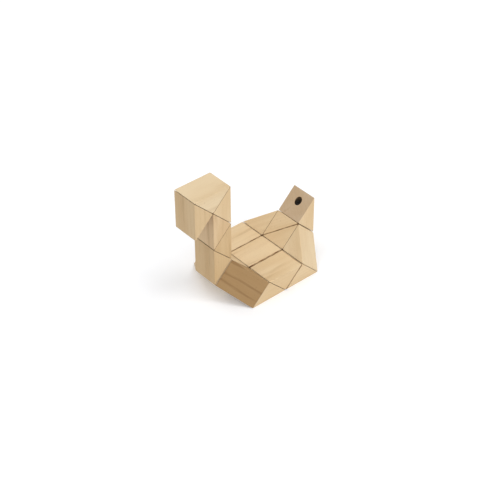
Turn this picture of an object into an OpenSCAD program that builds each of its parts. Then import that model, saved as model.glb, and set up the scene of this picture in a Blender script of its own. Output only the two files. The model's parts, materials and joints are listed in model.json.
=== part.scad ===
// Wooden folding snake puzzle: 24 half-cube wedges on one elastic cord, folded as a bird.
// The chain starts at the bird's head and ends at its tail. Neighbours meet at square faces and
// turn there about the squares' middle, so one turn at each joint gives the whole figure.
// The origin is under the middle of the figure, on the surface it stands on. X runs across its
// three rows and Y from the head to the tail.

/* [Wedges] */
// Side of the square faces
wedge_side = 30; // [20:0.5:45]
// How much narrower than that the wedges are, which gives the rows more room side by side
width_trim = 0.4; // [0:0.1:1]
// Play between any two faces that look at each other
play = 0.3; // [0.1:0.05:0.6]
// Radius of the eased edges
edge_r = 0.4; // [0.2:0.1:2]

/* [Cord] */
// Diameter of the elastic cord
cord_d = 3; // [2:0.25:4]
// Clearance all round the cord in its bores
cord_clear = 0.7; // [0.25:0.05:0.9]

/* [End knots] */
// Diameter of the pocket for the knot at each end of the chain
pocket_d = 7.8; // [7:0.2:9]
// Depth of that pocket along its own axis
pocket_depth = 9; // [8.5:0.5:11]
// Tilt of the pocket's axis from the normal of the free square
pocket_tilt = 34; // [25:1:45]
// Distance of the pocket's mouth from the middle of the free square, towards the sloping face
mouth_shift = 3.4; // [0:0.2:4]
// Clearance all round each knot
knot_clear = 0.2; // [0.1:0.05:0.5]
// Angle that each of a knot's two turns lies above or below its waist
turn_angle = 36; // [30:1:45]
// How much thinner the cord is between a knot and the nearest joint
drawn_thin = 0.1; // [0.05:0.05:0.3]

/* [Hidden] */
$fn = 48;
// Quarter turns at each joint, from the head to the tail: 0 carries straight on, 2 folds back
fold = [2, 2, 0, 0, 0, 3, 0, 3, 0, 0, 1, 2, 3, 0, 0, 3, 2, 1, 0, 0, 3, 0, 3];
wedge_count = len(fold) + 1;
// Wedges that stay together while the others turn: name, first wedge and last wedge
GROUPS = [
    ["head", 1, 2],
    ["upper_neck", 3, 4],
    ["mid_neck", 5, 5],
    ["lower_neck", 6, 6],
    ["front_row", 7, 12],
    ["middle_row", 13, 17],
    ["rear_row", 18, 23],
    ["tail", 24, 24]
];
beech = [0.87, 0.74, 0.56];
black = [0.10, 0.09, 0.08];

// The wedges fill a lattice of cubes of this pitch, and each lies inside its half by the inset
pitch = wedge_side + play;
inset = play / 2;
wedge_width = wedge_side - width_trim;
// Distance from a wedge's right-angled edge to its sloping face is twice this
half_height = pitch / (2 * sqrt(2));
// Middle of the head's free square, counted in pitches from the fold of the body
head_at = [0, -3, 0.5];
// The figure's middle lies this far towards its tail, and its base this far down, in pitches
middle_at = 0.5 / sqrt(2);
base_at = 1 / sqrt(2);

// Points of a wedge's middle plane, as [x, z]: the middles of its two squares, and the cord's way
entry_mid = [0, 0];
exit_mid = [pitch / 2, pitch / 2];
cord_way = unit(exit_mid - entry_mid);
bore_d = cord_d + 2 * cord_clear;

// In an end wedge, the pocket runs in from its mouth, and the bore aims at the middle of the knot
pocket_way = [cos(pocket_tilt), sin(pocket_tilt)];
pocket_mouth = [inset, -mouth_shift];
pocket_floor = pocket_mouth + pocket_way * pocket_depth;
knot_r = pocket_d / 2 - knot_clear;
knot_mid = pocket_floor - pocket_way * (knot_r + knot_clear);
knot_way = unit(exit_mid - knot_mid);
turn_reach = knot_r - cord_d / 2;

function unit(v) = v / norm(v);
function two_digits(n) = n < 10 ? str("0", n) : str(n);
function wedge_name(n) = str("wedge_", two_digits(n));
function cord_name(group) = str("cord_", group[0]);

// Stands the figure on its base, over the origin, with its rows along Y
module stand() {
    translate([0, -middle_at * pitch, base_at * pitch - inset])
        rotate([-45, 0, 0])
            translate(head_at * pitch)
                rotate([0, 0, -90])
                    children();
}

// From a wedge's entry square to the next one's: across the wedge, then round by quarter turns
module next_wedge(quarters) {
    translate([pitch / 2, 0, pitch / 2])
        rotate(a = 180, v = [1, 0, 1])
            rotate([90 * quarters, 0, 0])
                children();
}

// The frame of wedge n: x runs in through the middle of its entry square, z out through the edge
// of its exit square, and y along its width
module along_chain(n) {
    if (n == 1)
        stand() children();
    else
        along_chain(n - 1) next_wedge(fold[n - 2]) children();
}

// Turns a wedge end for end, so that its entry square becomes its exit
module end_for_end() {
    translate([pitch / 2, 0, pitch / 2])
        rotate(a = 180, v = [1, 0, -1])
            children();
}

// A rod in a wedge's middle plane
module slant_rod(from, to, d) {
    span = to - from;
    translate([from.x, 0, from.y])
        rotate([0, atan2(span.x, span.y), 0])
            cylinder(d = d, h = norm(span));
}

// A wedge's profile with round corners, measured from its right-angled edge
module wedge_profile() {
    near = inset + edge_r;
    far = pitch - inset * sqrt(2) - near - edge_r * sqrt(2);
    lean = edge_r / sqrt(2);
    polygon([
        [near, inset], [far, inset], [far + lean, near + lean],
        [near + lean, far + lean], [inset, far], [inset, near]
    ]);
    for (centre = [[near, near], [far, near], [near, far]])
        translate(centre) circle(r = edge_r);
}

// A long bar as wide as a wedge, under the plane z = 0, with its two upper edges eased
module eased_bar() {
    depth = 2 * pitch;
    rotate([90, 0, 90])
        linear_extrude(4 * pitch, center = true) {
            translate([-wedge_width / 2, -depth]) square([wedge_width, depth - edge_r]);
            translate([edge_r - wedge_width / 2, -depth]) square([wedge_width - 2 * edge_r, depth]);
            for (side = [-1, 1])
                translate([side * (wedge_width / 2 - edge_r), -edge_r]) circle(r = edge_r);
        }
}

// Half a cube with all its edges eased. A bar under each square and under the sloping face eases
// the edges that the profile can't.
module wedge_blank() {
    intersection() {
        translate([0, 0, pitch / 2])
            rotate([-90, 0, 0])
                linear_extrude(2 * pitch, center = true) wedge_profile();
        translate([0, 0, pitch / 2 - inset]) eased_bar();
        translate([inset, 0, 0]) rotate([0, -90, 0]) eased_bar();
        rotate([0, 135, 0]) translate([0, 0, half_height - inset]) eased_bar();
    }
}

// A wedge with its cord bore, drilled from the middle of one square to the middle of the other
module bored_wedge() {
    color(beech)
        difference() {
            wedge_blank();
            slant_rod(entry_mid - cord_way * bore_d, exit_mid + cord_way * bore_d, bore_d);
        }
}

// An end wedge, with its free square as entry: a pocket for the knot, and the bore to the joint
module end_wedge() {
    color(beech)
        difference() {
            wedge_blank();
            slant_rod(pocket_mouth - pocket_way * pocket_d, pocket_floor, pocket_d);
            slant_rod(knot_mid, exit_mid + knot_way * bore_d, bore_d);
        }
}

module wedge(n) {
    along_chain(n)
        if (n == 1)
            end_wedge();
        else if (n == wedge_count)
            end_for_end() end_wedge();
        else
            bored_wedge();
}

// The cord in a wedge between two others. It is cut off at both joints, short of one where its
// group begins or ends.
module cord_through(begins, ends) {
    low_x = begins ? inset : 0;
    high_z = pitch / 2 - (ends ? inset : 0);
    intersection() {
        slant_rod(entry_mid - cord_way * cord_d, exit_mid + cord_way * cord_d, cord_d);
        translate([low_x, -pitch / 2, high_z - 2 * pitch]) cube([2 * pitch, pitch, 2 * pitch]);
    }
}

// The cord in an end wedge, from the knot to the joint, drawn thinner there by the knot's pull
module cord_from_knot(ends) {
    high_z = pitch / 2 - (ends ? inset : 0);
    intersection() {
        slant_rod(knot_mid + knot_way * knot_r, exit_mid + knot_way * cord_d, cord_d - drawn_thin);
        translate([0, -pitch / 2, high_z - 2 * pitch]) cube([2 * pitch, pitch, 2 * pitch]);
    }
}

// The run of the cord in one group of wedges
module cord(group) {
    first = group[1];
    last = group[2];
    color(black)
        for (n = [first : last])
            along_chain(n)
                if (n == 1)
                    cord_from_knot(n == last);
                else if (n == wedge_count)
                    end_for_end() cord_from_knot(n == first);
                else
                    cord_through(n == first, n == last);
}

// Half the section of a knot: two turns of cord round a core, and the cord itself along the middle
module knot_section() {
    intersection() {
        union() {
            circle(r = turn_reach);
            for (side = [-1, 1])
                translate(turn_reach * [cos(turn_angle), side * sin(turn_angle)])
                    circle(d = cord_d);
            square([cord_d, 2 * knot_r], center = true);
        }
        translate([0, -knot_r]) square([knot_r, 2 * knot_r]);
    }
}

module knot() {
    color(black)
        translate([knot_mid.x, 0, knot_mid.y])
            rotate([0, atan2(knot_way.x, knot_way.y), 0])
                rotate_extrude() knot_section();
}

for (n = [1 : wedge_count])
    wedge(n);
for (group = GROUPS)
    cord(group);
along_chain(1) knot();  // knot_head
along_chain(wedge_count) end_for_end() knot();  // knot_tail
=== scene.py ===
"""Dresses a wooden snake puzzle, a chain of 24 wedges on one elastic cord, folded as a bird.

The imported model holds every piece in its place. Here each wedge gets its sanded edges, its bore
and its own cut of the wood, the cord's two ends get their tied knots, and the figure stands on a
pale studio floor. Lengths are in metres, and in a wedge's own frame x runs in through the middle
of its entry square, y along its width and z out through the edge of its exit square.
"""

import sys

import json
import logging
import math
from collections.abc import Iterator
from dataclasses import dataclass, field
from enum import Enum
from functools import cached_property

import bpy
from mathutils import Matrix, Vector

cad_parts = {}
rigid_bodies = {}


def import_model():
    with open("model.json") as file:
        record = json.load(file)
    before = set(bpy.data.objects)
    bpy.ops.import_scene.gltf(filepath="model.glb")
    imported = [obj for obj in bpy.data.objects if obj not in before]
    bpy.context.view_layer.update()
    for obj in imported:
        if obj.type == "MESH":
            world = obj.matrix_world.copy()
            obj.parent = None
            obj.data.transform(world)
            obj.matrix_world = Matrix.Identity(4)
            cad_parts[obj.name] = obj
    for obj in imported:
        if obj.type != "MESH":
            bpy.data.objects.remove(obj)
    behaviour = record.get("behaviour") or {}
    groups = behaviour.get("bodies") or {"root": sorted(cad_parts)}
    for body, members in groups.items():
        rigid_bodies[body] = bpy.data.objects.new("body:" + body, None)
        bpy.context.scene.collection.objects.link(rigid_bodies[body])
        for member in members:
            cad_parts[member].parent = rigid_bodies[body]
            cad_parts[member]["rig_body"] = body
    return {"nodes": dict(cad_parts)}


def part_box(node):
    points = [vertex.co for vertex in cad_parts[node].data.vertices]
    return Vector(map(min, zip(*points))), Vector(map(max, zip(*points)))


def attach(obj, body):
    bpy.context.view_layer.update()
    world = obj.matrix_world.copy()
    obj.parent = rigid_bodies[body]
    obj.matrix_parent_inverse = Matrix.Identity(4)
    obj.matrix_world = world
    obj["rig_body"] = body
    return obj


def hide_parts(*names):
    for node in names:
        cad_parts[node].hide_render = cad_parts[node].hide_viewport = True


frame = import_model()

Color = tuple[float, float, float, float]
Triple = tuple[float, float, float]
Span = tuple[float, float]
Socket = bpy.types.NodeSocket

LOG = logging.getLogger("snake_puzzle")
MM = 0.001
WHITE: Color = (1, 1, 1, 1)
# Half the angle of a wedge's two acute edges
HALF_ACUTE = math.radians(22.5)
# Blender's wave texture repeats after this length at a scale of 1
WAVE_LENGTH = math.pi / 10


class Fold(Enum):
    """How far a wedge is turned on the one before it, in quarter turns."""

    STRAIGHT = 0
    QUARTER = 1
    BACK = 2
    THREE_QUARTERS = 3


class End(Enum):
    """The two ends of the chain."""

    HEAD = "head"
    TAIL = "tail"


class Face(Enum):
    """A wedge's five faces, by their place in the list of its planes."""

    ENTRY = 0
    EXIT = 1
    SLOPE = 2
    LEFT = 3
    RIGHT = 4


@dataclass(frozen=True)
class Timber:
    """What sets a board apart: its tint, and how strongly the grain's lines and its streaks show."""

    tint: Triple
    lines: float = 1.0
    streaks: float = 1.0


class Board(Enum):
    """The boards that the wedges were sawn from."""

    PLAIN = Timber(tint=(1.0, 1.0, 1.0))
    PALE = Timber(tint=(1.02, 1.06, 1.12), lines=0.7, streaks=0.6)
    STRAW = Timber(tint=(0.94, 0.90, 0.87))
    HONEY = Timber(tint=(0.88, 0.84, 0.78), lines=1.1)
    AMBER = Timber(tint=(0.85, 0.79, 0.70))
    BROWN = Timber(tint=(0.51, 0.42, 0.305), lines=0.6, streaks=2.0)


NECK = (Fold.BACK, Fold.BACK, Fold.STRAIGHT, Fold.STRAIGHT, Fold.STRAIGHT, Fold.THREE_QUARTERS)
FRONT_ROW = (Fold.STRAIGHT, Fold.THREE_QUARTERS, Fold.STRAIGHT, Fold.STRAIGHT, Fold.QUARTER, Fold.BACK)
MIDDLE_ROW = (Fold.THREE_QUARTERS, Fold.STRAIGHT, Fold.STRAIGHT, Fold.THREE_QUARTERS, Fold.BACK)
REAR_ROW = (
    Fold.QUARTER, Fold.STRAIGHT, Fold.STRAIGHT, Fold.THREE_QUARTERS, Fold.STRAIGHT, Fold.THREE_QUARTERS,
)
# The wedges that weren't sawn from the plain board, by number
BOARDS = {
    1: Board.HONEY, 2: Board.PALE, 4: Board.STRAW, 5: Board.AMBER, 6: Board.AMBER, 8: Board.BROWN,
    12: Board.PALE,
}
# The faces whose seams get darker painted shade than the others, by wedge
DARKER_SEAMS = {10: (Face.EXIT, Face.RIGHT), 11: (Face.ENTRY,), 15: (Face.RIGHT,)}


def clear_selection() -> None:
    """Deselects everything, because the loaded nodes start out selected."""
    bpy.ops.object.select_all(action="DESELECT")


def select_only(piece: bpy.types.Object) -> None:
    """Selects one object and makes it the active one."""
    clear_selection()
    piece.select_set(True)
    bpy.context.view_layer.objects.active = piece


def apply_modifier(piece: bpy.types.Object, kind: str, **settings: object) -> None:
    """Adds a modifier to a piece, sets it up and applies it.

    Args:
        piece: The object to change.
        kind: Blender's name for the kind of modifier.
        **settings: The modifier's own settings.
    """
    select_only(piece)
    modifier = piece.modifiers.new(kind.lower(), kind)
    for name, value in settings.items():
        setattr(modifier, name, value)
    bpy.ops.object.modifier_apply(modifier=modifier.name)


def remove(piece: bpy.types.Object) -> None:
    """Deletes a helper object with its mesh."""
    mesh = piece.data
    bpy.data.objects.remove(piece)
    bpy.data.meshes.remove(mesh)


def add_object(name: str, data: bpy.types.ID) -> bpy.types.Object:
    """Returns a new object of the scene that shows the given data."""
    made = bpy.data.objects.new(name, data)
    bpy.context.scene.collection.objects.link(made)
    return made


def facing(way: Vector) -> Matrix:
    """Returns the turn that carries the z axis to a direction."""
    return way.to_track_quat("Z", "Y").to_matrix().to_4x4()


@dataclass
class Chain:
    """The chain of wedges, with the place of each one in the folded figure.

    The last three fields are places in the lattice, counted in pitches.
    """

    width: float
    side: float = 30.0 * MM
    play: float = 0.3 * MM
    folds: tuple[Fold, ...] = NECK + FRONT_ROW + MIDDLE_ROW + REAR_ROW
    head_at: Triple = (0.0, -3.0, 0.5)
    middle_at: float = 0.5 / math.sqrt(2)
    base_at: float = 1 / math.sqrt(2)

    @property
    def pitch(self) -> float:
        """The lattice's pitch, a wedge's side and its play."""
        return self.side + self.play

    @property
    def inset(self) -> float:
        """The distance from a lattice plane to the wedge's own face."""
        return self.play / 2

    def stand(self) -> Matrix:
        """Returns the frame of the first wedge, with the figure on its base over the origin."""
        seat = Matrix.Translation((0, -self.middle_at * self.pitch, self.base_at * self.pitch - self.inset))
        lean = Matrix.Rotation(math.radians(-45), 4, "X")
        head = Matrix.Translation(Vector(self.head_at) * self.pitch)
        return seat @ lean @ head @ Matrix.Rotation(math.radians(-90), 4, "Z")

    def next_wedge(self, fold: Fold) -> Matrix:
        """Returns the step from a wedge's frame to the next one's.

        Args:
            fold: How the next wedge is turned.
        """
        across = Matrix.Translation((self.pitch / 2, 0, self.pitch / 2))
        over = Matrix.Rotation(math.pi, 4, Vector((1, 0, 1)))
        return across @ over @ Matrix.Rotation(fold.value * math.pi / 2, 4, "X")

    def end_for_end(self) -> Matrix:
        """Returns the turn that swaps a wedge's entry and exit squares."""
        across = Matrix.Translation((self.pitch / 2, 0, self.pitch / 2))
        return across @ Matrix.Rotation(math.pi, 4, Vector((1, 0, -1)))

    def frames(self) -> Iterator[Matrix]:
        """Yields each wedge's frame, from the head to the tail."""
        place = self.stand()
        yield place
        for fold in self.folds:
            place = place @ self.next_wedge(fold)
            yield place


@dataclass
class WedgeShape:
    """The shape of a wedge: its eased edges, its cord bore, where it wears, and where shade is painted into
    its seams.
    """

    chain: Chain
    edge_radius: float = 0.3 * MM
    keen_radius: float = 0.12 * MM
    bore_radius: float = 2.2 * MM
    pocket_radius: float = 3.9 * MM
    pocket_depth: float = 9.0 * MM
    pocket_tilt: float = math.radians(34)
    mouth_shift: float = 3.4 * MM
    mouth_ease: float = 0.15 * MM
    edge_segments: int = 4
    mouth_segments: int = 2
    bore_sides: int = 48
    # How far a drill starts and ends outside the wood, in its own radii
    overrun: float = 2.0
    # The grid's lines across a face, the width of the rims outside it, and how much of that wears
    grid_cuts: int = 9
    rim_width: float = 1.4 * MM
    rim_fade: float = 0.95
    # Wear: its depth at a corner, the share of that along an edge, and the least wood behind it, in
    # its own depths
    dent: float = 0.55 * MM
    rim_share: float = 0.25
    wear_margin: float = 2.0
    # Neighbours: how far off their middles are at most, in pitches, and where they count as before a face
    neighbour_reach: float = 1.6
    reach: float = 1.2 * MM
    slack: float = 0.3 * MM
    # Painted shade in the seams: its shares in a joint, between two rows, at a gap's lip, and at a corner
    # with none to three hidden faces, and its gain on a face with darker seams
    joint_share: float = 0.5
    row_share: float = 1.6
    darker_seam_gain: float = 5.0
    lip_share: float = 0.35
    corner_shares: tuple[float, ...] = (0.0, 0.6, 1.0, 1.0)
    # Products of two directions: above the first they count as one, below the second their faces meet
    # in a sharp edge, and up to the third they count as square to each other
    same_way: float = 0.99
    crease: float = 0.9
    grazing: float = 0.05
    # How near to a square its points lie, and how much wider than the pocket its mouth is looked for
    touch: float = 0.01 * MM
    mouth_margin: float = 1.1

    @property
    def slope_distance(self) -> float:
        """How far the sloping face lies from the middle of the entry square."""
        return self.chain.pitch / (2 * math.sqrt(2)) - self.chain.inset

    @property
    def top(self) -> float:
        """The height of the exit square."""
        return self.chain.pitch / 2 - self.chain.inset

    @property
    def middle(self) -> Vector:
        """The middle of the wedge, near enough to tell which wedges are neighbours."""
        return self.exit_middle / 2

    @property
    def exit_middle(self) -> Vector:
        """The middle of the joint beyond the exit square."""
        return Vector((self.chain.pitch / 2, 0, self.chain.pitch / 2))

    @property
    def pocket_way(self) -> Vector:
        """The direction in which the knot's pocket runs in."""
        return Vector((math.cos(self.pocket_tilt), 0, math.sin(self.pocket_tilt)))

    @property
    def pocket_mouth(self) -> Vector:
        """The middle of the pocket's mouth, on the free square."""
        return Vector((self.chain.inset, 0, -self.mouth_shift))

    @property
    def knot_middle(self) -> Vector:
        """The middle of the knot, which sits on the pocket's floor."""
        return self.pocket_mouth + self.pocket_way * (self.pocket_depth - self.pocket_radius)

    @cached_property
    def planes(self) -> list[tuple[Vector, float]]:
        """The wedge's five faces, as outward normals and distances from its frame's origin."""
        half = self.chain.width / 2
        slope = Vector((1, 0, -1)).normalized()
        return [
            (Vector((-1, 0, 0)), -self.chain.inset),
            (Vector((0, 0, 1)), self.top),
            (slope, self.slope_distance),
            (Vector((0, 1, 0)), half),
            (Vector((0, -1, 0)), half),
        ]

    def blank(self) -> bpy.types.Object:
        """Returns a wedge with eased edges and no bore."""
        side = self.chain.side
        clear_selection()
        middle = (self.chain.inset + side / 2, 0, self.top - side / 2)
        bpy.ops.mesh.primitive_cube_add(size=1, location=middle, scale=(side, self.chain.width, side))
        piece = bpy.context.object
        bpy.ops.object.transform_apply(location=True, rotation=False, scale=True)
        normal, distance = self.planes[Face.SLOPE.value]
        bpy.ops.object.mode_set(mode="EDIT")
        bpy.ops.mesh.select_all(action="SELECT")
        bpy.ops.mesh.bisect(plane_co=normal * distance, plane_no=normal, use_fill=True, clear_outer=True)
        bpy.ops.object.mode_set(mode="OBJECT")
        self.ease_edges(piece, normal)
        self.rule_grid(piece)
        return piece

    def ease_edges(self, piece: bpy.types.Object, slope: Vector) -> None:
        """Rounds the edges, the two acute ones to a smaller radius.

        Args:
            piece: The sharp wedge.
            slope: The outward normal of its sloping face.
        """
        mesh = piece.data
        keen_reach = self.keen_radius / math.tan(HALF_ACUTE)
        widest = max(keen_reach, self.edge_radius)
        weights = mesh.attributes.new("bevel_weight_edge", "FLOAT", "EDGE")
        on_slope = set()
        for face in mesh.polygons:
            if face.normal.dot(slope) > self.same_way:
                on_slope.update(face.edge_keys)
        for edge in mesh.edges:
            start, end = (mesh.vertices[index].co for index in edge.vertices)
            acute = edge.key in on_slope and abs((start - end).y) > self.chain.width / 2
            weights.data[edge.index].value = (keen_reach if acute else self.edge_radius) / widest
        apply_modifier(piece, "BEVEL", width=widest, limit_method="WEIGHT",
                       segments=self.edge_segments, profile=0.5)

    def steps(self, length: float) -> list[float]:
        """Returns where the grid's lines cross a length, the first and last one a rim's width in."""
        span = length - 2 * self.rim_width
        return [self.rim_width + span * i / (self.grid_cuts - 1) for i in range(self.grid_cuts)]

    def rule_grid(self, piece: bpy.types.Object) -> None:
        """Cuts the faces into a grid, so that the rims can wear unevenly and shade evenly.

        Args:
            piece: The wedge with eased edges.
        """
        width, inset = self.chain.width, self.chain.inset
        cuts = [((0, step - width / 2, 0), (0, 1, 0)) for step in self.steps(width)]
        cuts += [((inset + step, 0, 0), (1, 0, 0)) for step in self.steps(self.chain.side)]
        cuts += [((0, 0, self.top - step), (0, 0, 1)) for step in self.steps(self.chain.side)]
        normal, distance = self.planes[Face.SLOPE.value]
        cuts.append((normal * (distance - self.rim_width), normal))
        select_only(piece)
        bpy.ops.object.mode_set(mode="EDIT")
        for place, way in cuts:
            bpy.ops.mesh.select_all(action="SELECT")
            bpy.ops.mesh.bisect(plane_co=place, plane_no=way)
        bpy.ops.object.mode_set(mode="OBJECT")

    def drill(self, piece: bpy.types.Object, start: Vector, finish: Vector, radius: float) -> None:
        """Bores a round hole through a wedge, or into it.

        Args:
            piece: The wedge.
            start: One end of the hole's axis.
            finish: The other end.
            radius: The hole's radius.
        """
        span = finish - start
        clear_selection()
        bpy.ops.mesh.primitive_cylinder_add(vertices=self.bore_sides, radius=radius, depth=span.length)
        bit = bpy.context.object
        bit.data.transform(Matrix.Translation((start + finish) / 2) @ facing(span))
        apply_modifier(piece, "BOOLEAN", object=bit, operation="DIFFERENCE", solver="EXACT")
        remove(bit)

    def ease_mouth(self, piece: bpy.types.Object) -> None:
        """Breaks the sharp edge of the knot's pocket.

        Args:
            piece: The drilled end wedge.
        """
        mesh = piece.data
        select_only(piece)
        bpy.ops.object.mode_set(mode="EDIT")
        bpy.ops.mesh.select_mode(type="EDGE")
        bpy.ops.mesh.select_all(action="DESELECT")
        bpy.ops.object.mode_set(mode="OBJECT")
        reach = self.pocket_radius / math.cos(self.pocket_tilt) * self.mouth_margin
        faces = {}
        for face in mesh.polygons:
            for key in face.edge_keys:
                faces.setdefault(key, []).append(face)
        for edge in mesh.edges:
            ends = [mesh.vertices[v].co for v in edge.vertices]
            on_square = all(abs(end.x - self.chain.inset) < self.touch for end in ends)
            near = all((end - self.pocket_mouth).length < reach for end in ends)
            pair = faces[edge.key]
            sharp = len(pair) == 2 and pair[0].normal.dot(pair[1].normal) < self.crease
            edge.select = on_square and near and sharp
        bpy.ops.object.mode_set(mode="EDIT")
        bpy.ops.mesh.bevel(offset=self.mouth_ease, segments=self.mouth_segments, affect="EDGES")
        bpy.ops.object.mode_set(mode="OBJECT")

    def mark_rims(self, piece: bpy.types.Object) -> None:
        """Marks the insides of the bores for their painted shade, and the edges and corners for wear.

        Args:
            piece: The finished wedge, still in its own frame.
        """
        wear = [self.wear_at(vertex) for vertex in piece.data.vertices]
        bores = [float(min(self.depths(face.center)) > self.edge_radius / 2) for face in piece.data.polygons]
        piece.data.attributes.new("bore", "FLOAT", "FACE").data.foreach_set("value", bores)
        group = piece.vertex_groups.new(name="rims")
        for index, weight in enumerate(wear):
            group.add([index], weight, "REPLACE")

    def wear_at(self, vertex: bpy.types.MeshVertex) -> float:
        """Returns how much a point wears: most at a corner, and never through a thin edge.

        Args:
            vertex: A point of the wedge's mesh.
        """
        depths = self.depths(vertex.co)
        nearest = sorted(depths)
        edge, corner = self.nearness(nearest[1]), self.nearness(nearest[2])
        share = self.rim_share * edge + (1 - self.rim_share) * corner
        for depth, (normal, _) in zip(depths, self.planes):
            lean = -vertex.normal.dot(normal)
            if lean > self.grazing:
                share = min(share, max(0.0, depth) / (self.wear_margin * lean * self.dent))
        return share

    def shares(self, number: int) -> list[float]:
        """Returns how strongly each of a wedge's faces gets painted shade along its seams.

        Args:
            number: The wedge's number.
        """
        shares = []
        for face in Face:
            share = self.joint_share if face in (Face.ENTRY, Face.EXIT) else self.row_share
            gain = self.darker_seam_gain if face in DARKER_SEAMS.get(number, ()) else 1.0
            shares.append(share * gain)
        return shares

    def mark_seams(self, piece: bpy.types.Object, place: Matrix, others: list[Matrix],
                   number: int) -> None:
        """Marks the edges where a wedge meets its neighbours in the folded figure, for painted shade.

        Args:
            piece: The wedge, still in its own frame.
            place: The frame that it goes to.
            others: The frames of all the other wedges.
            number: The wedge's number.
        """
        middle = place @ self.middle
        farthest = self.neighbour_reach * self.chain.pitch
        near = [other for other in others if (other @ self.middle - middle).length < farthest]
        ways = [other.inverted() @ place for other in near]
        shares = self.shares(number)
        seams = [self.seam_at(vertex.co, ways, shares) for vertex in piece.data.vertices]
        piece.data.attributes.new("seam", "FLOAT", "POINT").data.foreach_set("value", seams)

    def seam_at(self, spot: Vector, ways: list[Matrix], shares: list[float]) -> float:
        """Returns how much painted shade a point gets: up to 1 in a gap between wedges, and 0 on an open
        edge.

        Args:
            spot: The point, in the wedge's own frame.
            ways: The changes from that frame to its neighbours' frames.
            shares: How strongly each face gets painted shade along its edges.
        """
        depths = self.depths(spot)
        nearest = sorted(range(len(depths)), key=depths.__getitem__)[:3]
        rim, corner = self.nearness(depths[nearest[1]]), self.nearness(depths[nearest[2]])
        if rim == 0.0:
            return 0.0
        hidden = [face for face in nearest if self.is_hidden(spot, face, ways)]
        corner *= self.corner_shares[len(hidden)]
        if nearest[0] in hidden and nearest[1] in hidden:
            return max(corner, rim * self.joint_share)
        if nearest[0] not in hidden and nearest[1] not in hidden:
            return corner
        inner, outer = nearest[:2] if nearest[0] in hidden else nearest[1::-1]
        depth = min(1.0, depths[outer] / self.edge_radius)
        share = shares[inner] * (self.lip_share + (1 - self.lip_share) * depth)
        return max(corner, min(1.0, rim * share))

    def is_hidden(self, spot: Vector, face: int, ways: list[Matrix]) -> bool:
        """Returns whether a neighbour lies before a face of the wedge.

        Args:
            spot: The point of the face.
            face: The face's place in the list of planes.
            ways: The changes from the wedge's frame to its neighbours' frames.
        """
        before = spot + self.planes[face][0] * self.reach
        return any(min(self.depths(way @ before)) > -self.slack for way in ways)

    def depths(self, place: Vector) -> list[float]:
        """Returns how deep a point lies under each of the five faces, the two squares first."""
        return [distance - place.dot(normal) for normal, distance in self.planes]

    def nearness(self, depth: float) -> float:
        """Returns 1 on an eased edge, and 0 from a rim's width inwards.

        Args:
            depth: How deep a point lies under a face.
        """
        flat = self.rim_width * self.rim_fade
        return min(1.0, max(0.0, (flat - depth) / (flat - self.edge_radius)))

    def through_wedge(self) -> bpy.types.Object:
        """Returns the model of a wedge between two others."""
        piece = self.blank()
        way = self.exit_middle.normalized() * self.bore_radius * self.overrun
        self.drill(piece, -way, self.exit_middle + way, self.bore_radius)
        self.mark_rims(piece)
        return piece

    def end_wedge(self) -> bpy.types.Object:
        """Returns the model of a wedge at an end of the chain, with a pocket for the knot."""
        piece = self.blank()
        start = self.pocket_mouth - self.pocket_way * self.pocket_radius * self.overrun
        floor = self.pocket_mouth + self.pocket_way * self.pocket_depth
        self.drill(piece, start, floor, self.pocket_radius)
        self.ease_mouth(piece)
        way = (self.exit_middle - self.knot_middle).normalized() * self.bore_radius * self.overrun
        self.drill(piece, self.knot_middle, self.exit_middle + way, self.bore_radius)
        self.mark_rims(piece)
        return piece


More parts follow.
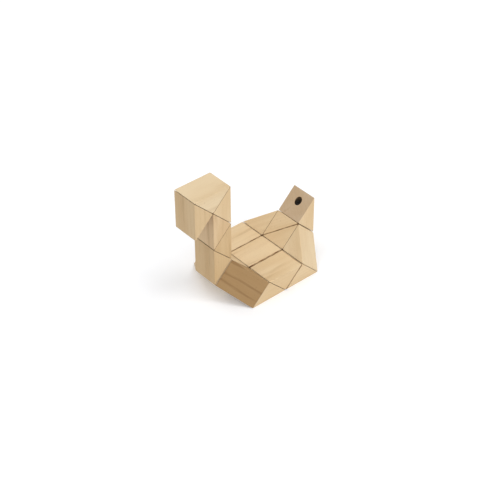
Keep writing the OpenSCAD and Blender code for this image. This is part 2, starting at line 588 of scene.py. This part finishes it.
class Graph:
    """Adds nodes to a node tree, each linked to what feeds it."""

    def __init__(self, tree: bpy.types.NodeTree) -> None:
        """Starts on an empty tree."""
        self.tree = tree
        tree.nodes.clear()

    def add(self, kind: str, inputs: dict[str, object] | None = None,
            **settings: object) -> bpy.types.Node:
        """Adds one node.

        Args:
            kind: Blender's name for the kind of node.
            inputs: Values or sockets for its inputs, by identifier or name.
            **settings: The node's own settings.

        Returns:
            The new node.
        """
        node = self.tree.nodes.new(kind)
        for name, value in settings.items():
            setattr(node, name, value)
        for name, value in (inputs or {}).items():
            socket = next(s for s in node.inputs if name in (s.identifier, s.name))
            if isinstance(value, Socket):
                self.tree.links.new(value, socket)
            else:
                socket.default_value = value
        return node

    def math(self, operation: str, first: object, second: object = 0.0) -> Socket:
        """Returns the result of arithmetic with one or two numbers."""
        inputs = {"Value": first, "Value_001": second}
        return self.add("ShaderNodeMath", inputs, operation=operation).outputs[0]

    def stretch(self, vector: Socket, scale: Triple) -> Socket:
        """Returns a vector scaled along its axes."""
        inputs = {"Vector": vector, "Vector_001": scale}
        return self.add("ShaderNodeVectorMath", inputs, operation="MULTIPLY").outputs[0]

    def ramp(self, value: Socket, span: Span, start: float = 0.0, end: float = 1.0) -> Socket:
        """Returns a value carried smoothly from one range to another.

        Args:
            value: The socket to read.
            span: Where the ramp starts and where it ends.
            start: What it gives up to there.
            end: What it gives from there on.
        """
        inputs = {"Value": value, "From Min": span[0], "From Max": span[1], "To Min": start, "To Max": end}
        return self.add("ShaderNodeMapRange", inputs, interpolation_type="SMOOTHSTEP").outputs[0]

    def mix(self, factor: object, first: object, second: object, blend: str = "MIX") -> Socket:
        """Returns the second colour mixed into the first."""
        inputs = {"Factor_Float": factor, "A_Color": first, "B_Color": second}
        node = self.add("ShaderNodeMix", inputs, data_type="RGBA", blend_type=blend)
        return next(s for s in node.outputs if s.identifier == "Result_Color")

    def lay(self, base: Socket, color: object, cover: Socket, *shares: object) -> Socket:
        """Returns a colour with another laid over it.

        Args:
            base: The colour underneath.
            color: The colour laid over it.
            cover: Where it is laid, from 0 to 1.
            *shares: Numbers or sockets that weaken it.
        """
        for share in shares:
            cover = self.math("MULTIPLY", cover, share)
        return self.mix(cover, base, color)

    def surface(self, color: Socket, roughness: object, specular: float, height: Socket, bump: float,
                relief: float) -> None:
        """Ends a material's tree with a surface that has a fine relief.

        Args:
            color: The surface's colour.
            roughness: Its roughness, as a number or a socket.
            specular: How strongly it reflects.
            height: The relief, from 0 to 1.
            bump: How strongly the relief shows.
            relief: How deep it is.
        """
        bumps = self.add("ShaderNodeBump", {"Height": height, "Strength": bump, "Distance": relief})
        inputs = {"Base Color": color, "Roughness": roughness, "Specular IOR Level": specular,
                  "Normal": bumps.outputs[0]}
        shader = self.add("ShaderNodeBsdfPrincipled", inputs)
        self.add("ShaderNodeOutputMaterial", {"Surface": shader.outputs[0]})


def new_material(name: str) -> tuple[bpy.types.Material, Graph]:
    """Returns a new material, and the graph that its nodes are added to."""
    material = bpy.data.materials.new(name)
    material.use_nodes = True
    return material, Graph(material.node_tree)


@dataclass(frozen=True)
class Layer:
    """A soft noise in a material.

    Its scale says how fast it changes along each axis, per millimetre, and its span is the part of
    its range over which it sets in.
    """

    scale: Triple
    span: Span
    detail: float
    roughness: float = 0.5
    strength: float = 1.0

    def noise(self, graph: Graph, place: Socket) -> Socket:
        """Returns the noise itself, which lies about 0.5.

        Args:
            graph: The graph to add it to.
            place: The coordinates, in millimetres.
        """
        inputs = {"Vector": graph.stretch(place, self.scale), "Scale": 1.0, "Detail": self.detail,
                  "Roughness": self.roughness}
        return graph.add("ShaderNodeTexNoise", inputs).outputs[0]

    def cover(self, graph: Graph, place: Socket) -> Socket:
        """Returns how much of the layer shows at a place, from 0 to 1.

        Args:
            graph: The graph to add it to.
            place: The coordinates, in millimetres.
        """
        return graph.ramp(self.noise(graph, place), self.span)


@dataclass(frozen=True)
class BeechFinish:
    """Plain sanded beech: fine straight grain with short brown ray flecks, darker where it is cut across."""

    pale: Color = (0.77, 0.585, 0.355, 1)
    deep: Color = (0.71, 0.515, 0.29, 1)
    late: Color = (0.60, 0.40, 0.21, 1)
    streak: Color = (0.50, 0.33, 0.17, 1)
    fleck: Color = (0.42, 0.25, 0.12, 1)
    # Painted shade: the brown that darkens the gaps between wedges
    seam_shade_color: Color = (0.20, 0.085, 0.022, 1)
    # Painted shade: the near black of the bores' walls, so that the knot's pocket looks dark
    bore_shade_color: Color = (0.035, 0.022, 0.014, 1)
    across: Color = (0.75, 0.75, 0.82, 1)
    tone: Layer = Layer(scale=(0.05, 0.05, 0.012), span=(0.35, 0.68), detail=2.0)
    fibre: Layer = Layer(scale=(1.5, 1.5, 0.055), span=(0.50, 0.72), detail=5.0, roughness=0.62,
                         strength=0.16)
    band: Layer = Layer(scale=(0.20, 0.20, 0.018), span=(0.65, 0.79), detail=3.0, roughness=0.45,
                        strength=0.36)
    pore: Layer = Layer(scale=(1.9, 1.9, 0.5), span=(0.42, 0.66), detail=4.0, roughness=0.7,
                        strength=0.28)
    # How unevenly the painted shade in the seams lies along them
    uneven_seam_shade: Layer = Layer(scale=(0.12, 0.12, 0.12), span=(0.36, 0.62), detail=3.0)
    # The yearly rings: their spacing, how far and how fast they sway, and where the late wood sets in
    ring_spacing_mm: float = 3.1
    ring_sway_mm: Triple = (9.0, 9.0, 0.0)
    ring_wander: Triple = (0.04, 0.04, 0.008)
    ring_span: Span = (0.35, 1.0)
    ring_strength: float = 0.13
    # The flecks: how many cells to a millimetre, where in a cell they fade out, which cells have one,
    # and how strongly they show in the colour and the relief
    fleck_cells: Triple = (0.16, 1.5, 0.34)
    fleck_edge: Span = (0.12, 0.30)
    fleck_chance: Span = (0.25, 0.9)
    fleck_strength: float = 0.26
    fleck_depth: float = 0.25
    # How much a board's streakiness widens its streaks
    band_gain: float = 0.05
    # Where a face counts as cut across the grain, where the painted shade in the seams sets in, and how
    # uneven it is
    cut_span: Span = (0.25, 0.62)
    seam_span: Span = (0.25, 0.85)
    seam_shade_depth: Span = (0.35, 0.95)
    bore_shade_strength: float = 0.9
    # The part of the fibres' noise that shows as roughness, and how rough that is
    rough_span: Span = (0.2, 0.8)
    roughness: Span = (0.46, 0.60)
    specular: float = 0.3
    bump: float = 0.5
    relief: float = 0.03 * MM
    # From each wedge to the next, the cut moves this far in the wood and turns by the golden angle
    board_step_mm: Triple = (43.0, 37.0, 130.0)
    board_turn: float = math.radians(137.5)

    def figure(self) -> bpy.types.NodeTree:
        """Returns the node group that draws the wood in a board's own millimetres.

        Its vector runs through the rings in x, along them in y and up the grain in z.
        """
        tree = bpy.data.node_groups.new("beech_figure", "ShaderNodeTree")
        sockets = tree.interface
        sockets.new_socket("Board", in_out="INPUT", socket_type="NodeSocketVector")
        for name in ("Across", "Seam", "Bore", "Lines", "Streaks"):
            sockets.new_socket(name, in_out="INPUT", socket_type="NodeSocketFloat")
        sockets.new_socket("Color", in_out="OUTPUT", socket_type="NodeSocketColor")
        sockets.new_socket("Roughness", in_out="OUTPUT", socket_type="NodeSocketFloat")
        sockets.new_socket("Height", in_out="OUTPUT", socket_type="NodeSocketFloat")
        graph = Graph(tree)
        given = graph.add("NodeGroupInput").outputs
        place, lines, streaky = given["Board"], given["Lines"], given["Streaks"]
        fibres = self.fibre.noise(graph, place)
        flecks = self.flecks(graph, place)
        cut = graph.ramp(given["Across"], self.cut_span)
        uneven_seam_shade = graph.ramp(self.uneven_seam_shade.noise(graph, place), self.uneven_seam_shade.span, *self.seam_shade_depth)
        color = graph.mix(self.tone.cover(graph, place), self.pale, self.deep)
        color = graph.lay(color, self.late, self.rings(graph, place), lines, self.ring_strength)
        color = graph.lay(color, self.late, graph.ramp(fibres, self.fibre.span), lines, self.fibre.strength)
        streaks = self.streaks(graph, place, streaky)
        color = graph.lay(color, self.streak, streaks, streaky, self.band.strength)
        color = graph.lay(color, self.fleck, flecks, self.fleck_strength)
        color = graph.lay(color, graph.mix(1.0, color, self.across, "MULTIPLY"), cut)
        color = graph.lay(color, self.late, self.pore.cover(graph, place), cut, self.pore.strength)
        # Painted shade in the gaps between wedges, uneven along each seam
        color = graph.lay(color, self.seam_shade_color, graph.ramp(given["Seam"], self.seam_span), uneven_seam_shade)
        # Painted shade: the bores' walls are laid nearly black
        color = graph.lay(color, self.bore_shade_color, given["Bore"], self.bore_shade_strength)
        rough = graph.ramp(fibres, self.rough_span, *self.roughness)
        height = graph.math("SUBTRACT", fibres, graph.math("MULTIPLY", flecks, self.fleck_depth))
        graph.add("NodeGroupOutput", {"Color": color, "Roughness": rough, "Height": height})
        return tree

    def rings(self, graph: Graph, place: Socket) -> Socket:
        """Returns the yearly rings, which darken towards the end of each.

        Args:
            graph: The group's graph.
            place: The board's coordinates, in millimetres.
        """
        wander = {"Vector": graph.stretch(place, self.ring_wander), "Scale": 1.0, "Detail": 2.0}
        sway = graph.stretch(graph.add("ShaderNodeTexNoise", wander).outputs[1], self.ring_sway_mm)
        both = {"Vector": place, "Vector_001": sway}
        bent = graph.add("ShaderNodeVectorMath", both, operation="ADD").outputs[0]
        inputs = {"Vector": bent, "Scale": WAVE_LENGTH / self.ring_spacing_mm, "Distortion": 0.5,
                  "Detail": 2.0, "Detail Scale": 0.6}
        wave = graph.add("ShaderNodeTexWave", inputs, bands_direction="X", wave_profile="SAW").outputs[1]
        return graph.ramp(wave, self.ring_span)

    def streaks(self, graph: Graph, place: Socket, amount: Socket) -> Socket:
        """Returns the few broad, dark streaks that run along the grain.

        Args:
            graph: The group's graph.
            place: The board's coordinates, in millimetres.
            amount: How streaky the board is, which is 1 for most boards.
        """
        gain = graph.math("MULTIPLY", amount, self.band_gain)
        return graph.ramp(graph.math("ADD", self.band.noise(graph, place), gain), self.band.span)

    def flecks(self, graph: Graph, place: Socket) -> Socket:
        """Returns the ray flecks, which are short spindles on one pair of faces and patches on the other.

        Args:
            graph: The group's graph.
            place: The board's coordinates, in millimetres.
        """
        cells = {"Vector": graph.stretch(place, self.fleck_cells), "Scale": 1.0, "Randomness": 1.0}
        spindles = graph.add("ShaderNodeTexVoronoi", cells)
        near = graph.ramp(spindles.outputs["Distance"], self.fleck_edge, 1.0, 0.0)
        chance = graph.add("ShaderNodeSeparateColor", {"Color": spindles.outputs["Color"]}).outputs[0]
        return graph.math("MULTIPLY", near, graph.ramp(chance, self.fleck_chance))

    def material(self, group: bpy.types.NodeTree, place: Matrix, number: int) -> bpy.types.Material:
        """Returns the wood of one wedge.

        Args:
            group: The node group of the figure.
            place: The wedge's frame.
            number: The wedge's number, which picks its board and its cut of that.
        """
        grain = (place.to_3x3() @ Vector((1, 0, 1))).normalized()
        width = (place.to_3x3() @ Vector((0, 1, 0))).normalized()
        turned = Matrix.Rotation(number * self.board_turn, 3, grain) @ width
        to_board = Matrix((turned, grain.cross(turned), grain))
        offset = Vector(self.board_step_mm) * number - to_board @ place.translation / MM
        material, graph = new_material(f"beech_{number:02d}")
        read = graph.add("ShaderNodeTexCoord")
        mapping = {"Vector": read.outputs["Object"], "Location": offset, "Scale": (1 / MM,) * 3,
                   "Rotation": to_board.to_euler()}
        laid = graph.add("ShaderNodeMapping", mapping).outputs[0]
        ends = {"Vector": read.outputs["Normal"], "Vector_001": grain}
        along = graph.add("ShaderNodeVectorMath", ends, operation="DOT_PRODUCT").outputs["Value"]
        seam = graph.add("ShaderNodeAttribute", attribute_name="seam").outputs["Fac"]
        bore = graph.add("ShaderNodeAttribute", attribute_name="bore").outputs["Fac"]
        timber = BOARDS.get(number, Board.PLAIN).value
        wood = graph.add("ShaderNodeGroup", node_tree=group)
        across = graph.math("ABSOLUTE", along)
        for socket, value in (("Board", laid), ("Across", across), ("Seam", seam), ("Bore", bore)):
            graph.tree.links.new(value, wood.inputs[socket])
        wood.inputs["Lines"].default_value = timber.lines
        wood.inputs["Streaks"].default_value = timber.streaks
        color = graph.mix(1.0, wood.outputs["Color"], (*timber.tint, 1.0), "MULTIPLY")
        graph.surface(color, wood.outputs["Roughness"], self.specular, wood.outputs["Height"], self.bump,
                      self.relief)
        return material


@dataclass(frozen=True)
class ElasticFinish:
    """Black braided elastic, slightly dusty."""

    yarn: Color = (0.008, 0.007, 0.006, 1)
    worn: Color = (0.022, 0.019, 0.016, 1)
    weave: Layer = Layer(scale=(2.5, 2.5, 2.5), span=(0.4, 0.7), detail=3.0, roughness=0.6)
    roughness: float = 0.85
    specular: float = 0.2
    bump: float = 0.6
    relief: float = 0.1 * MM

    def material(self) -> bpy.types.Material:
        """Returns the elastic's material."""
        material, graph = new_material("braided_elastic")
        place = graph.add("ShaderNodeTexCoord").outputs["Object"]
        fine = graph.add("ShaderNodeMapping", {"Vector": place, "Scale": (1 / MM,) * 3}).outputs[0]
        weave = self.weave.noise(graph, fine)
        color = graph.mix(graph.ramp(weave, self.weave.span), self.yarn, self.worn)
        graph.surface(color, self.roughness, self.specular, weave, self.bump, self.relief)
        return material


@dataclass
class WoodenChain:
    """All the wedges, each a copy of its model, worn in its own way and cut from its own board."""

    shape: WedgeShape
    finish: BeechFinish = field(default_factory=BeechFinish)
    dent_size: float = 3.0 * MM
    smooth_angle: float = math.radians(40)
    normal_weight: int = 80

    def build(self) -> None:
        """Makes every wedge and sets it on its body."""
        group = self.finish.figure()
        dents = bpy.data.textures.new("sanding", "CLOUDS")
        dents.noise_scale = self.dent_size
        models = {True: self.shape.end_wedge(), False: self.shape.through_wedge()}
        places = list(self.shape.chain.frames())
        for number, place in enumerate(places, 1):
            at_end = number in (1, len(places))
            turn = self.shape.chain.end_for_end() if number == len(places) else Matrix.Identity(4)
            others = places[:number - 1] + places[number:]
            piece = self.place(models[at_end], place @ turn, others, number, dents)
            piece.data.materials.append(self.finish.material(group, place, number))
            self.hand_over(piece, number)
        for model in models.values():
            remove(model)

    def place(self, model: bpy.types.Object, place: Matrix, others: list[Matrix], number: int,
              dents: bpy.types.Texture) -> bpy.types.Object:
        """Copies a model to its place and wears its edges there.

        Args:
            model: The wedge to copy.
            place: The frame that it goes to.
            others: The frames of all the other wedges.
            number: The wedge's number.
            dents: The texture of the wear, which differs from place to place.

        Returns:
            The finished wedge.
        """
        piece = model.copy()
        piece.data = model.data.copy()
        piece.name = piece.data.name = f"beech_wedge_{number:02d}"
        bpy.context.scene.collection.objects.link(piece)
        self.shape.mark_seams(piece, place, others, number)
        piece.data.transform(place)
        apply_modifier(piece, "DISPLACE", texture=dents, strength=self.shape.dent, mid_level=1.0,
                       vertex_group="rims", texture_coords="LOCAL")
        select_only(piece)
        bpy.ops.object.shade_smooth_by_angle(angle=self.smooth_angle)
        apply_modifier(piece, "WEIGHTED_NORMAL", keep_sharp=True, weight=self.normal_weight)
        return piece

    def hand_over(self, piece: bpy.types.Object, number: int) -> None:
        """Lets a wedge stand for its node and ride on its body.

        Args:
            piece: The finished wedge.
            number: Its number.
        """
        node = f"wedge_{number:02d}"
        body = frame["nodes"][node]["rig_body"]
        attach(piece, body)
        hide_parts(node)
        LOG.info("%s: %d faces on %s", piece.name, len(piece.data.polygons), body)


@dataclass
class EndKnot:
    """An overhand knot in the cord's end, pulled down on the floor of its pocket.

    Its line goes round the middle twice and, meanwhile, up and down and in and out three times.
    """

    shape: WedgeShape
    cord_radius: float = 1.35 * MM
    turn_radius: float = 1.62 * MM
    turn_depth: float = 0.70 * MM
    turn_height: float = 1.9 * MM
    end_reach: float = 4.0 * MM
    turns: int = 2
    waves: int = 3
    # The points on the knot's line, and on the straight cord before and after it
    points: int = 96
    points_before: int = 4
    points_after: int = 3
    tube_segments: int = 5
    # The skin that joins the turns: how fine its mesh is, and how that is smoothed
    skin: float = 0.13 * MM
    relaxing: float = 0.5
    relaxing_rounds: int = 2

    def line(self) -> Iterator[Vector]:
        """Yields the cord's way round the knot, which is a trefoil cut open at its middle."""
        lowest = self.turn_height + self.cord_radius
        inner = self.turn_radius - self.turn_depth
        for step in range(self.points_before):
            yield Vector((inner, 0, -lowest * (1 - step / self.points_before)))
        for step in range(self.points + 1):
            turn = 2 * math.pi * self.turns * step / self.points
            wave = turn * self.waves / self.turns
            reach = self.turn_radius - self.turn_depth * math.cos(wave)
            yield Vector((reach * math.cos(turn), reach * math.sin(turn), self.turn_height * math.sin(wave)))
        for step in range(self.points_after):
            yield Vector((inner, 0, self.end_reach * (step + 1) / self.points_after))

    def build(self, end: End, place: Matrix, material: bpy.types.Material) -> None:
        """Ties one knot and sets it on its body.

        Args:
            end: The end of the chain.
            place: The frame of the end wedge, with its free square as entry.
            material: The cord's material.
        """
        curve = bpy.data.curves.new(f"tied_knot_{end.value}", "CURVE")
        curve.dimensions = "3D"
        curve.bevel_depth = self.cord_radius
        curve.bevel_resolution = self.tube_segments
        curve.use_fill_caps = True
        line = list(self.line())
        spline = curve.splines.new("POLY")
        spline.points.add(len(line) - 1)
        for point, place_on_line in zip(spline.points, line):
            point.co = (*place_on_line, 1.0)
        knot = add_object(curve.name, curve)
        select_only(knot)
        bpy.ops.object.convert(target="MESH")
        turn = facing(-self.shape.pocket_way)
        knot.data.transform(place @ Matrix.Translation(self.shape.knot_middle) @ turn)
        apply_modifier(knot, "REMESH", mode="VOXEL", voxel_size=self.skin)
        apply_modifier(knot, "SMOOTH", factor=self.relaxing, iterations=self.relaxing_rounds)
        knot.data.materials.clear()
        knot.data.materials.append(material)
        bpy.ops.object.shade_smooth()
        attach(knot, end.value)
        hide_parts(f"knot_{end.value}")
        LOG.info("%s: %d faces", knot.name, len(knot.data.polygons))


@dataclass
class Cord:
    """The elastic cord: its runs in the bores, which keep their shape, and the knots at its ends."""

    shape: WedgeShape
    finish: ElasticFinish = field(default_factory=ElasticFinish)

    def build(self) -> None:
        """Dresses the runs and ties the knots."""
        material = self.finish.material()
        for name, node in frame["nodes"].items():
            if name.startswith("cord_"):
                node.data.materials.clear()
                node.data.materials.append(material)
                LOG.info("%s: dressed as it is", name)
        places = list(self.shape.chain.frames())
        knot = EndKnot(self.shape)
        knot.build(End.HEAD, places[0], material)
        knot.build(End.TAIL, places[-1] @ self.shape.chain.end_for_end(), material)


@dataclass
class Studio:
    """A pale floor, three broad lamps, an even sky and the photograph's camera."""

    # The camera, fitted to the corners and the outline in the photograph
    look_at: Triple = (0.01498, -0.00943, 0.04205)
    distance: float = 1.23056
    azimuth: float = math.radians(49.28)
    elevation: float = math.radians(38.57)
    roll: float = math.radians(-0.053)
    lens: float = 92.09
    # Each lamp's direction, the brightness of a white card that faces it, and how wide it looks
    key_from: Triple = (0.31, 0.17, 0.94)
    key_level: float = 0.18
    key_spread: float = math.radians(22)
    side_from: Triple = (0.86, -0.06, 0.50)
    side_level: float = 0.33
    side_spread: float = math.radians(80)
    fill_from: Triple = (-0.40, -0.24, 1.00)
    fill_level: float = 0.12
    fill_spread: float = math.radians(30)
    ambient_level: float = 0.57
    floor_size: float = 24.0
    floor_drop: float = 0.02 * MM
    # The floor's colour for the light that it throws back and for the eye, and its glow for the eye
    floor_color: Color = (0.82, 0.84, 0.87, 1)
    floor_seen: Color = (0.915, 0.925, 0.945, 1)
    floor_lift: float = 0.15

    def build(self) -> None:
        """Sets up the camera, the lights, the sky and the floor."""
        self.camera()
        self.lamp("key", self.key_from, self.key_level, self.key_spread)
        self.lamp("side", self.side_from, self.side_level, self.side_spread)
        self.lamp("fill", self.fill_from, self.fill_level, self.fill_spread)
        self.sky()
        self.floor()
        bpy.context.scene.view_settings.view_transform = "Standard"

    def camera(self) -> None:
        """Places the camera at the photograph's angle."""
        level = math.cos(self.elevation)
        across, along = math.sin(self.azimuth) * level, -math.cos(self.azimuth) * level
        back = Vector((across, along, math.sin(self.elevation)))
        data = bpy.data.cameras.new("camera")
        data.lens = self.lens
        camera = add_object("camera", data)
        aim = facing(back) @ Matrix.Rotation(self.roll, 4, "Z")
        camera.matrix_world = Matrix.Translation(Vector(self.look_at) + back * self.distance) @ aim
        bpy.context.scene.camera = camera

    def lamp(self, name: str, source: Triple, level: float, spread: float) -> None:
        """Sets a broad lamp so far away that it lights the floor evenly.

        Args:
            name: The lamp's name.
            source: The direction that the light comes from.
            level: The brightness of a white card that faces the lamp.
            spread: How wide the lamp looks from the figure, which softens its shadows.
        """
        data = bpy.data.lights.new(name, "SUN")
        data.angle = spread
        data.energy = level * math.pi
        add_object(name, data).matrix_world = Matrix.Translation(source) @ facing(Vector(source))

    def seen(self, graph: Graph) -> Socket:
        """Returns 1 for rays that the eye follows: from the camera, a reflection or a clear piece."""
        path = graph.add("ShaderNodeLightPath").outputs
        bent = graph.math("MAXIMUM", path["Is Glossy Ray"], path["Is Transmission Ray"])
        return graph.math("MAXIMUM", path["Is Camera Ray"], bent)

    def sky(self) -> None:
        """Lights the figure evenly from all round, and shows white behind it."""
        world = bpy.data.worlds.new("sky")
        world.use_nodes = True
        bpy.context.scene.world = world
        graph = Graph(world.node_tree)
        white = graph.add("ShaderNodeBackground", {"Color": WHITE, "Strength": 1.0})
        light = graph.add("ShaderNodeBackground", {"Color": WHITE, "Strength": self.ambient_level})
        both = {"Fac": self.seen(graph), "Shader": light.outputs[0], "Shader_001": white.outputs[0]}
        graph.add("ShaderNodeOutputWorld", {"Surface": graph.add("ShaderNodeMixShader", both).outputs[0]})

    def floor(self) -> None:
        """Lays a pale floor that looks white and keeps the figure's shadow."""
        clear_selection()
        bpy.ops.mesh.primitive_plane_add(size=self.floor_size, location=(0, 0, -self.floor_drop))
        floor = bpy.context.object
        floor.name = "floor"
        material, graph = new_material("pale_floor")
        seen = self.seen(graph)
        shade = graph.mix(seen, self.floor_color, self.floor_seen)
        paper = graph.add("ShaderNodeBsdfDiffuse", {"Color": shade})
        lift = graph.add("ShaderNodeEmission", {"Strength": graph.math("MULTIPLY", seen, self.floor_lift)})
        near = graph.add("ShaderNodeAddShader", {"Shader": paper.outputs[0], "Shader_001": lift.outputs[0]})
        graph.add("ShaderNodeOutputMaterial", {"Surface": near.outputs[0]})
        floor.data.materials.append(material)


def main() -> None:
    """Builds the pieces in order."""
    logging.basicConfig(level=logging.INFO, format="%(message)s", stream=sys.stdout)
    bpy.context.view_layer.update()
    low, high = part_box("wedge_02")
    shape = WedgeShape(Chain(width=high.x - low.x))
    Studio().build()
    WoodenChain(shape).build()
    Cord(shape).build()


if __name__ == "__main__":
    main()
